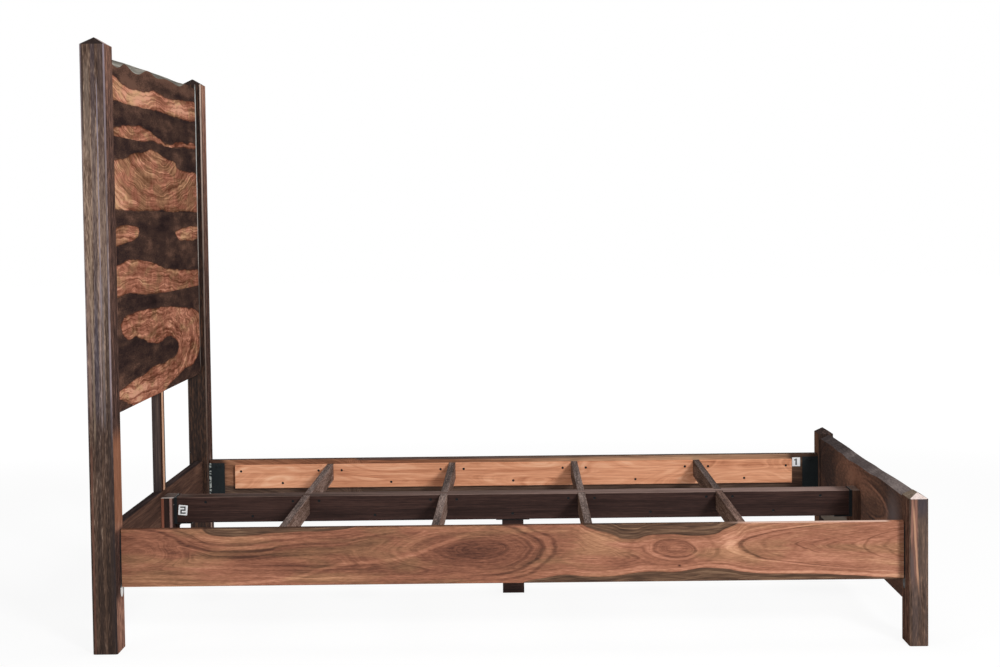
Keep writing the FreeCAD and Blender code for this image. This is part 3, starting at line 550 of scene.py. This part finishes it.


# The near side rail: reddish brown wood with flowing cathedral grain round two knots' eyes, and grey-olive
# sapwood along parts of its top and bottom edges. Dark rings follow the figure. Its top face has a painted
# highlight near the foot and painted shade toward the head, and painted light lightens its face by the
# foot post.
rail_start, rail_end = -1.04, 1.05
rail_low, rail_high = 0.155, 0.375
valley = [(-1040, 345), (-939, 330), (-892, 314), (-852, 300), (-812, 285), (-779, 276), (-726, 273),
          (-673, 276), (-626, 281), (-560, 284), (-493, 285), (-447, 288), (-393, 297), (-327, 307),
          (-274, 314), (-150, 335), (0, 360), (1050, 370)]
second_valley = [(-1040, 330), (-939, 312), (-892, 294.5), (-845, 274.5), (-799, 262), (-759, 256),
                 (-693, 256), (-646, 258), (-613, 266), (-560, 271), (-500, 275), (-430, 282), (-350, 294),
                 (-270, 308), (-200, 328), (1050, 370)]
third_valley = [(-1040, 300), (-960, 280), (-900, 258), (-850, 247), (-780, 243), (-700, 245), (-620, 256),
                (-540, 262), (-440, 266), (-360, 276), (-280, 292), (-200, 312), (1050, 370)]
pale_stream = [(-1040, 160), (-700, 172), (-560, 186), (-480, 210), (-400, 224), (-330, 228), (-280, 236),
               (-230, 250), (-180, 270), (-120, 290), (-60, 306), (1050, 370)]
top_sapwood = [(-1040, 345), (150, 340), (200, 315), (226, 303), (279, 287), (299, 278), (332, 277),
               (352, 283), (386, 289), (432, 291), (479, 287), (532, 289), (565, 302), (598, 314), (640, 340),
               (1050, 370)]
bottom_sapwood = [
    (-1040, 158), (20, 160), (53, 170), (100, 179), (146, 184), (199, 180), (266, 178), (319, 184),
    (366, 189), (432, 187), (479, 194), (519, 199), (565, 197), (612, 189), (665, 183), (731, 181),
    (864, 178), (984, 171), (1050, 165)]
rail_finish = Finish("side_rail_left_wood")
place, (x, y, z) = object_place(rail_finish)
drift = fibre(place, (4, 1, 16), 2)
ripple = fibre(place, (11, 1, 42), 3)
across = x + (drift - 0.5) * 0.08
height = z + (drift - 0.5) * 0.016 + (ripple - 0.5) * 0.004


def rail_line(points, along=x):
    """The height of one of the rail's given lines."""
    return line_along(along, points, rail_start, rail_end, rail_low, rail_high)


over_valley = rail_line(valley, across) - height + 0.05
under_top = rail_line(top_sapwood) - height
over_bottom = height - rail_line(bottom_sapwood)
past_eye = across + 0.06
stretched = past_eye.maths("MAXIMUM", past_eye, 0.0) * 0.467 + past_eye.maths("MINIMUM", past_eye, 0.0) * 0.24
from_eye = (stretched * stretched + (height - 0.255) * (height - 0.255)) ** 0.5
second_eye = round_eye(across, height, (432, 252), 0.42)
tongue = across - (abs(height - 0.258) ** 1.6) * 46.4
nose = across - (abs(height - 0.258) ** 2.33) * 203 - 0.612
course = over_valley
for branch in (from_eye, second_eye, (1.11 - tongue) * 0.2,
               round_eye(across, height, (-975, 258), 0.6) + 0.012, under_top + 0.014, over_bottom + 0.014):
    course = course.maths("SMOOTH_MIN", course, branch, 0.02)
course = course + (ripple - 0.5) * 0.004
broad = flow(course, x, z, 60, (0.8, 2))
calm = 1
for centre, radii, amount in (
        ((-80, 250), (300, 80), 0.9), ((-985, 258), (150, 90), 0.8), ((432, 252), (80, 40), 0.6),
        ((-330, 255), (190, 70), 0.8)):
    calm = (1 - spot(across, height, centre, radii) * amount) * calm
thin = flow(course, x, z, 170, (2.4, 6))
hair = flow(course, x, z, 420, (8, 14), 2)
streak = fibre(place, (22, 1, 240), 3)
pores = fibre(place, (70, 1, 460), 2)
fade = rise(fibre(place, (5, 1, 20), 2, 0.0, (0, 3, 0)), 0.35, 0.65) * 0.7 + 0.3
toward_foot = rise(x, 0.02, 0.75)
value = (0.425 + toward_foot * 0.12 + (broad - 0.5) * (calm * 0.4 + 0.15) + (thin - 0.5) * fade * calm * 0.7
         + (hair - 0.5) * 0.38 + (streak - 0.5) * 0.38 + (pores - 0.5) * 0.45)
for centre, radii, amount in (
        ((-800, 222), (130, 40), 0.2), ((-690, 291), (190, 11), 0.16), ((-720, 264), (160, 8), 0.14),
        ((-690, 240), (180, 16), -0.14), ((215, 255), (110, 66), 0.16), ((590, 262), (40, 66), 0.14),
        ((432, 252), (60, 25), 0.1), ((-110, 248), (130, 40), -0.14), ((-60, 245), (260, 110), -0.2),
        ((-950, 265), (70, 40), -0.06), ((430, 250), (170, 100), -0.08), ((-1000, 200), (120, 50), 0.1),
        ((-300, 200), (200, 60), -0.1), ((-520, 208), (130, 34), -0.08), ((300, 215), (60, 30), -0.1),
        ((640, 235), (60, 30), -0.05),
        ((-420, 185), (160, 14), 0.12), ((870, 232), (200, 20), 0.08), ((930, 262), (60, 26), 0.14),
        # Painted light: the last spot lightens the face by the foot post, against the post's shadow.
        ((1030, 240), (110, 150), 0.16)):
    value = value + spot(across, height, centre, radii) * amount
right_of_eye = rise(x, -0.1, 0.0)
tongue_reach = rise(x, 0.55, 0.62)
for distance, half_width, fading, amount, reach in (
        (over_valley - 0.05, 1.0, 4, -0.17, 1 - rise(x, -0.4, -0.2)),
        (rail_line(second_valley, across) - height, 1.0, 4.5, -0.2, 1 - rise(x, -0.35, -0.2)),
        (rail_line(third_valley, across) - height, 3.0, 9, -0.09, 1 - rise(x, -0.4, -0.2)),
        (rail_line(pale_stream, across) - height, 1.5, 6, 0.18, 1 - rise(x, -0.15, -0.05)),
        (from_eye - 0.053, 0.7, 3.5, -0.14, right_of_eye), (from_eye - 0.068, 0.8, 3.5, -0.18, right_of_eye),
        (from_eye - 0.084, 0.5, 4, -0.15, right_of_eye), (from_eye - 0.076, 2, 4, 0.08, right_of_eye),
        (second_eye - 0.025, 0.4, 3, -0.15, 1.0), (second_eye - 0.05, 0.5, 4, -0.08, 1.0),
        (nose, 1.5, 8, -0.28, tongue_reach), (nose + 0.026, 7, 14, 0.16, rise(x, 0.52, 0.58)),
        (nose - 0.05, 1.0, 9, -0.08, tongue_reach), (tongue - 0.741, 1.0, 6, -0.18, tongue_reach),
        (tongue - 0.84, 1.0, 8, -0.08, tongue_reach), (nose - 0.319, 1.0, 6, -0.2, tongue_reach),
        (nose - 0.375, 1.0, 8, -0.12, tongue_reach),
        (over_bottom - 0.006, 1.5, 5, 0.2, toward_foot), (under_top - 0.006, 1.0, 5, 0.08, toward_foot)):
    value = value + stroke(distance, half_width, fading) * amount * reach
value = value - rise(tongue, 0.735, 0.75) * tongue_reach * 0.07
olive = tones(value, [
    (0.06, (80, 56, 43)), (0.28, (114, 80, 60)), (0.50, (146, 103, 77)), (0.72, (180, 131, 100)),
    (0.94, (210, 161, 127))])
reddish = tones(value, [
    (0.06, (78, 49, 40)), (0.28, (116, 74, 58)), (0.50, (150, 99, 77)), (0.72, (184, 128, 103)),
    (0.94, (212, 159, 131))])
hue = fibre(place, (4, 1, 22), 3, 0.5, (0, 7, 0)) + rise(x, 0.6, 0.75) * 0.04
for centre, radii, amount in (
        ((-60, 250), (190, 45), 0.3), ((430, 245), (130, 60), 0.25), ((235, 262), (110, 60), -0.12)):
    hue = hue + spot(x, z, centre, radii) * amount
wood = blend(rise(hue, 0.38, 0.62), olive, reddish)
sap = tones(0.48 + (thin - 0.5) * 0.9 + (hair - 0.5) * 0.7 + (streak - 0.5) * 0.9, [
    (0.15, (56, 42, 34)), (0.5, (94, 70, 55)), (0.85, (136, 107, 84))])
outer_sap = 1 - rise(under_top.maths("MINIMUM", under_top, over_bottom), -0.0012, 0.0012)
left_sap = (1 - rise(over_valley, 0.024, 0.029)) * rise(x, -0.81, -0.79) * (1 - rise(x, -0.44, -0.38))
sapwood = outer_sap.maths("MAXIMUM", outer_sap, left_sap)
wood = blend(sapwood, wood, sap)
wood = blend(sapwood * (1 - sapwood) * 2.8, wood, as_seen(58, 42, 34))
knot = spot(x, z, (447, 206.5), (7, 5))
wood = blend(knot, wood, as_seen(60, 34, 28))
top_face = rise(facing(rail_finish, 2), 0.5, 0.8)
# Painted highlight on the top face near the foot, and painted shade on it toward the head.
painted_top_highlight = top_face * rise(x, 0.55, 0.66) * (1 - rise(x, 0.985, 1.005))
wood = blend(painted_top_highlight, wood, as_seen(216, 180, 162))
wood = blend(top_face * (1 - rise(x, 0.1, 0.55)) * 0.7, wood, as_seen(62, 44, 38))
rail_wood = lacquer(rail_finish, wood, thin * 0.4 + streak * 0.6, roughness=0.5 + (thin - 0.5) * 0.2)
dress("side_rail_left", rail_wood)


# The far side rail: only its inner face shows, above and under the ledger. It runs from reddish brown with
# slanting grain at the head, past a dark bluish strip of sapwood, to a pale olive tan at the foot. Painted
# shade darkens it under the ledger and at both ends by the posts.
far_finish = Finish("side_rail_right_wood")
place, (x, y, z) = object_place(far_finish)
drift = fibre(place, (3, 1, 18), 2)
slant = fibre(place, (9, 1, 30), 2, 0.6)
course = z + x * (1 - rise(x, -0.56, -0.5)) * 0.35 + (drift - 0.5) * 0.03 + (slant - 0.5) * 0.012
broad = flow(course, x, z, 70, (1.2, 3))
thin = flow(course, x, z, 240, (2, 8))
streak = fibre(place, (16, 1, 300), 3)
value = 0.5 + (broad - 0.5) * 0.8 + (thin - 0.5) * 0.8 + (streak - 0.5) * 0.7
reddish = tones(value, [(0.15, (90, 60, 46)), (0.5, (140, 97, 73)), (0.85, (186, 136, 105))])
pale = tones(value, [(0.15, (108, 82, 62)), (0.5, (164, 130, 104)), (0.85, (204, 168, 136))])
wood = blend(rise(x + (drift - 0.5) * 0.2, -0.3, 0.25), reddish, pale)
bluish = stroke(z - 0.3165 + (drift - 0.5) * 0.008, 3.0, 3) * rise(x, -0.535, -0.515) * (
    1 - rise(x, -0.15, 0.6) * 0.75)
wood = blend(bluish * 0.9, wood, tones(value, [
    (0.2, (52, 46, 48)), (0.5, (74, 64, 64)), (0.8, (104, 90, 86))]))
# Painted shade under the ledger.
painted_shade_under_ledger = 1 - rise(z, 0.225, 0.235)
wood = blend(painted_shade_under_ledger, wood, tones(value, [
    (0.2, (58, 45, 38)), (0.5, (84, 66, 56)), (0.8, (114, 92, 78))]))
# Painted shade at both ends, by the posts.
painted_shade_at_ends = 1 - rise(x, -0.985, -0.955) + rise(x, 0.925, 0.95)
wood = blend(painted_shade_at_ends * 0.9, wood, tones(value, [
    (0.2, (44, 32, 27)), (0.5, (70, 50, 42)), (0.8, (100, 74, 60))]))
up_face = rise(facing(far_finish, 2), 0.5, 0.8)
wood = blend(up_face, wood, tones(value, [
    (0.2, (46, 36, 34)), (0.5, (64, 50, 45)), (0.8, (100, 80, 70))]))
dress("side_rail_right", lacquer(far_finish, wood, thin, roughness=0.5 + (thin - 0.5) * 0.2))


# Plain pieces: rails, ledgers, beam, slats, blocks and stile of sawn wood with straight grain, stained or
# oiled, each drawn from streaks along its own length, with other tones on faces that look one way; on the
# beam, slats and head block these are painted light, shade and reflection.
def plain_wood(name, grain, stops, faces=(), top_gloss=0.0, wavy=0.3, rough_sawn=0.4, figure=0.0, shade=None):
    """Straight-grained wood: grain is 0, 1 or 2 for the axis that the fibres run along. Faces are (axis,
    direction, stops, limits) for the sides that have tones of their own, some of them painted light or
    shade, where limits are None or (axis, low, high) in millimetres. Figure adds arches of growth rings.
    Shade is points of (place along the grain, lightness) in millimetres that lighten or darken faces that
    look up, a painted reflection."""
    finish = Finish(name)
    place, parts = object_place(finish)
    wide = fibre(place, [1.8 if axis == grain else 34 for axis in range(3)], 3, wavy)
    narrow = fibre(place, [6 if axis == grain else 260 for axis in range(3)], 4)
    pores = fibre(place, [30 if axis == grain else 480 for axis in range(3)], 3)
    value = 0.5 + (wide - 0.5) * 1.1 + (narrow - 0.5) * 0.8 + (pores - 0.5) * rough_sawn
    if figure:
        arch = fibre(place, [2.2 if axis == grain else 9 for axis in range(3)], 1, 0.6)
        rings = flow(arch * 0.22 + parts[2] * 0.35, parts[grain], parts[2], 130, (1.5, 4))
        value = value + (rings - 0.5) * figure
    tint = tones(value, stops)
    for axis, direction, other_stops, limits in faces:
        share = rise(facing(finish, axis) * direction, 0.5, 0.8)
        if limits:
            limit_axis, low, high = limits
            share = share * between(parts[limit_axis], low / 1000, high / 1000, 0.0015)
        lit = value
        # Painted reflection: shade lightens or darkens faces that look up, along the grain.
        if shade and axis == 2:
            lit = value + line_along(parts[grain], shade, rail_start, rail_end, -0.5, 0.5)
        tint = blend(share, tint, tones(lit, other_stops))
    return lacquer(finish, tint, value, roughness=0.5 + (narrow - 0.5) * 0.2, top_gloss=top_gloss)


head_rail_wood = plain_wood(
    "head_rail_wood", 1, [(0.15, (64, 48, 42)), (0.5, (88, 65, 56)), (0.85, (122, 91, 76))],
    [(2, 1, [(0.2, (34, 28, 28)), (0.5, (48, 40, 39)), (0.8, (70, 58, 56))], None)], wavy=1.2)
stile_wood = plain_wood(
    "stile_wood", 2, [(0.2, (42, 36, 36)), (0.5, (60, 50, 48)), (0.8, (90, 74, 67))],
    [(0, 1, [(0.2, (44, 30, 26)), (0.5, (66, 45, 38)), (0.8, (96, 66, 52))], None),
     (0, 1, [(0.2, (196, 140, 112)), (0.5, (224, 174, 142)), (0.8, (240, 200, 170))], (1, -12, 20))])
dress("headboard_lower_rail", head_rail_wood)
dress("headboard_stile", stile_wood)
ledger_wood = plain_wood(
    "ledger_wood", 0,
    [(0.10, (164, 102, 74)), (0.40, (206, 141, 106)), (0.62, (226, 162, 126)), (0.90, (242, 190, 154))],
    wavy=0.8, figure=0.9)
dress("rail_ledger_left", ledger_wood)
dress("rail_ledger_right", ledger_wood)
beam_wood = plain_wood(
    "beam_wood", 0, [(0.2, (37, 26, 24)), (0.5, (52, 37, 34)), (0.8, (72, 52, 47))],
    # Painted reflection: the top face takes lighter tones, and the shade along it lightens it toward the foot
    # and darkens both ends.
    [(2, 1, [(0.05, (50, 37, 32)), (0.35, (86, 67, 60)), (0.65, (124, 101, 93)), (0.95, (158, 133, 124))],
      None)],
    top_gloss=0.06, rough_sawn=0.6,
    shade=[(-1040, -280), (-913, -250), (-733, -220), (-463, -110), (-253, -30), (50, 30), (350, 160),
           (560, 190), (950, 200), (985, -100), (1050, -250)])
for name in ("centre_beam", "beam_ledger_left", "beam_ledger_right", "centre_leg"):
    dress(name, beam_wood)
# Painted light and shade: the +X sides take lighter tones than the -X sides.
lit_and_shaded_slat_sides = [(0, 1, [(0.15, (78, 60, 52)), (0.5, (122, 97, 86)), (0.85, (176, 150, 138))], None),
              (0, -1, [(0.15, (62, 48, 41)), (0.5, (98, 77, 66)), (0.85, (142, 116, 101))], None)]
slat_wood = plain_wood(
    "slat_wood", 1, [(0.15, (56, 46, 43)), (0.5, (97, 81, 75)), (0.85, (158, 138, 129))], lit_and_shaded_slat_sides,
    top_gloss=0.06, rough_sawn=1.5)
warm_slat_wood = plain_wood(
    "warm_slat_wood", 1, [(0.15, (66, 48, 42)), (0.5, (112, 86, 75)), (0.85, (164, 134, 120))], lit_and_shaded_slat_sides,
    top_gloss=0.06, rough_sawn=1.5)
for side in ("left", "right"):
    for number in range(1, 5):
        warm = side == "left" and number == 4
        dress("slat_%s_%d" % (side, number), warm_slat_wood if warm else slat_wood)
head_block_wood = plain_wood(
    "head_block_wood", 2, [(0.2, (38, 29, 27)), (0.5, (54, 41, 38)), (0.8, (84, 62, 54))],
    [(1, -1, [(0.2, (112, 68, 54)), (0.5, (140, 88, 70)), (0.8, (168, 112, 92))], (0, -1046, -1034)),
     (1, -1, [(0.2, (128, 96, 86)), (0.5, (156, 120, 110)), (0.8, (182, 146, 136))], (0, -1017, -1009)),
     # Painted light: the top face is lighter, with a narrow painted highlight strip along it.
     (2, 1, [(0.2, (58, 48, 45)), (0.5, (84, 71, 66)), (0.8, (116, 100, 94))], None),
     (2, 1, [(0.2, (168, 156, 150)), (0.5, (206, 196, 190)), (0.8, (226, 218, 214))], (1, -60, -40))],
    top_gloss=0.09)
foot_block_wood = plain_wood(
    "foot_block_wood", 2, [(0.2, (62, 44, 37)), (0.5, (86, 62, 51)), (0.8, (122, 90, 73))],
    [(2, 1, [(0.2, (74, 58, 52)), (0.5, (98, 79, 71)), (0.8, (130, 110, 100))], None)], rough_sawn=0.8)
dress("beam_block_head", head_block_wood)
dress("beam_block_foot", foot_block_wood)
dowel_wood = plain_wood("dowel_wood", 2, [(0.30, (190, 160, 120)), (0.70, (224, 196, 156))])
dress("headboard_dowels", dowel_wood)


# The footboard: dark brown wood with a reddish burl on its inner face, and a grey-brown hewn top. It is one
# plank, with a short tenon in each post.
foot_finish = Finish("footboard_wood")
place, (x, y, z) = object_place(foot_finish)
drift = fibre(place, (1, 5, 20), 2, 0.0, (0, 4, 0))
ripple = fibre(place, (1, 14, 60), 3, 0.4)
course = round_eye(y + (drift - 0.5) * 0.1, z, (-210, 296), 0.145)
course = course + (drift - 0.5) * 0.012 + (ripple - 0.5) * 0.004
broad = flow(course, y, z, 40, (1.5, 3))
thin = flow(course, y, z, 150, (3, 8))
mottle = fibre(place, (1, 30, 160), 3)
value = 0.51 + (broad - 0.5) * 0.5 + (thin - 0.5) * 0.3 + (mottle - 0.5) * 0.5
for centre, radii, amount in (
        ((-150, 330), (420, 90), 0.22), ((120, 335), (330, 80), 0.26), ((600, 300), (300, 200), -0.16),
        ((-330, 260), (160, 50), -0.06)):
    value = value + spot(y, z, centre, radii) * amount
near_side = 1 - rise(y, -0.3, -0.15)
for distance, half_width, fading, amount in (
        (course - 0.042, 1.0, 5, 0.2), (course - 0.03, 1.0, 5, 0.1), (course - 0.052, 2, 7, -0.12)):
    value = value + stroke(distance, half_width, fading) * near_side * amount
wood = tones(value, [
    (0.10, (48, 41, 40)), (0.36, (72, 58, 53)), (0.60, (104, 77, 65)), (0.85, (150, 108, 88))])
inward = rise(facing(foot_finish, 0) * -1, 0.5, 0.8)
steely = spot(y, z, (-590, 300), (150, 110)) * inward
wood = blend(steely * 0.8, wood, as_seen(112, 100, 98))
pale_foot = stroke(z - 0.13, 40, 20) * rise(y, -0.03, 0.04) * inward
wood = blend(pale_foot * 0.8, wood, as_seen(132, 124, 114))
hewn = 0.47 + (fibre(place, (8, 6, 8), 2, 0.0, (0, 1, 0)) - 0.5) * 0.7 + (
    fibre(place, (240, 30, 240), 3) - 0.5) * 0.6 - y * 0.26
top_wood = tones(hewn, [(0.2, (68, 60, 59)), (0.5, (98, 88, 86)), (0.8, (142, 130, 126))])
wood = blend(rise(facing(foot_finish, 2), 0.4, 0.7), wood, top_wood)
dress("footboard_plank", lacquer(foot_finish, wood, thin, roughness=0.5 + (thin - 0.5) * 0.2))


# Steel fittings: folded hooks and hangers with a black coating, rubbed off on a bent edge that also holds a
# painted glint; plated plates let into the headboard posts, painted dark as shade except at their free lower
# ends; plates at the foot painted dark all over as shade; and black wood screws.
def metal(name, tint, roughness, metallic, speck, worn_glint=(), painted_shade=()):
    """Coated or plated steel with a faint mottle. Worn glint is (from x, to x) in millimetres of bent edges
    where the coating is rubbed off in spots, which also paints a glint there, and painted shade is (axis,
    from, to, colour) of parts painted dark as shade."""
    finish = Finish(name)
    place, (x, y, z) = object_place(finish)
    mottle = fibre(place, (300, 300, 300), 3)
    skin_tint = blend(mottle, as_seen(*tint), as_seen(*speck))
    rubbed_glint = rise(fibre(place, (90, 90, 150), 3, 0.0, (0, 2, 0)), 0.42, 0.56)
    # Rubbed-off coating on the bent edges, which also paints a glint there.
    for low, high in worn_glint:
        bend = between(x, low / 1000, high / 1000, 0.0008)
        skin_tint = blend(bend * rubbed_glint, skin_tint, as_seen(178, 184, 180))
    # Painted shade: these parts are darkened as if in shadow.
    for axis, low, high, shade_tint in painted_shade:
        part = between((x, y, z)[axis], low / 1000, high / 1000, 0.001)
        skin_tint = blend(part, skin_tint, as_seen(*shade_tint))
    skin = finish.node("BsdfPrincipled", None, {
        "Base Color": skin_tint, "Metallic": metallic, "Roughness": roughness + (mottle - 0.5) * 0.2,
        "Specular IOR Level": 0.1,
        "Normal": finish.node("Bump", None, {"Strength": 0.2, "Distance": 0.0002, "Height": mottle})})
    finish.node("OutputMaterial", None, {"Surface": skin})
    return finish.owner


black_steel = metal("black_steel", (22, 24, 26), 0.45, 0.0, (36, 40, 42))
worn_glint_black_steel = metal(
    "worn_glint_black_steel", (24, 28, 30), 0.45, 0.0, (40, 46, 48), [(-1021.5, -1015)])
# Painted shade on the head plates above their lower ends, and on the parts toward the foot.
bare_steel = metal("bare_steel", (214, 213, 210), 0.4, 0.3, (238, 237, 234), (), [
    (2, 164, 400, (46, 36, 33)), (0, 900, 1100, (46, 36, 33))])
# Painted shade: the plates at the foot are dark all over.
shade_painted_steel = metal("shade_painted_steel", (44, 36, 33), 0.6, 0.0, (62, 52, 47))
for name in nodes:
    if name == "leg_plate":
        dress(name, black_steel)
    elif name.startswith("post_plate_foot_"):
        dress(name, shade_painted_steel)
    elif name == "leg_bolt" or name.startswith("post_plate_"):
        dress(name, bare_steel)
    elif "_screws" in name:
        dress(name, black_steel)
    elif name.startswith("rail_hook_") and name.endswith("_right"):
        dress(name, worn_glint_black_steel)
    elif name.startswith(("rail_hook_", "beam_hanger_")):
        dress(name, black_steel)


# Two white stickers that mark the far rail and the beam's end: thin paper, stuck on flat, each with a plain
# number drawn from black bars.
def sticker_finish(name, node, bars):
    """White paper with bars of (from across, to across, from up, to up), in millimetres from its middle."""
    finish = Finish(name)
    place, (x, y, z) = object_place(finish)
    low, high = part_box(node)
    across = x - (low.x + high.x) / 2
    up = z - (low.z + high.z) / 2
    ink = None
    for x0, x1, z0, z1 in bars:
        bar = between(across, x0 / 1000, x1 / 1000, 0.0005) * between(up, z0 / 1000, z1 / 1000, 0.0005)
        ink = bar if ink is None else ink.maths("MAXIMUM", ink, bar)
    white = blend(fibre(place, (80, 80, 80), 2), as_seen(226, 228, 230), as_seen(244, 245, 246))
    paper = finish.node("BsdfPrincipled", None, {
        "Base Color": blend(ink, white, as_seen(20, 20, 22)), "Roughness": 0.5})
    finish.node("OutputMaterial", None, {"Surface": paper})
    return finish.owner


one = [(-2.5, 2.5, -11, 11), (-6.5, -2.5, 4.5, 9)]
two = [(-8, 8, 7, 11), (4, 8, 0, 11), (-8, 8, -2, 2), (-8, -4, -11, 0), (-8, 8, -11, -7)]
dress("rail_label", sticker_finish("rail_label_sticker", "rail_label", one))
dress("beam_label", sticker_finish("beam_label_sticker", "beam_label", two))

bpy.context.scene.view_settings.view_transform = "Standard"
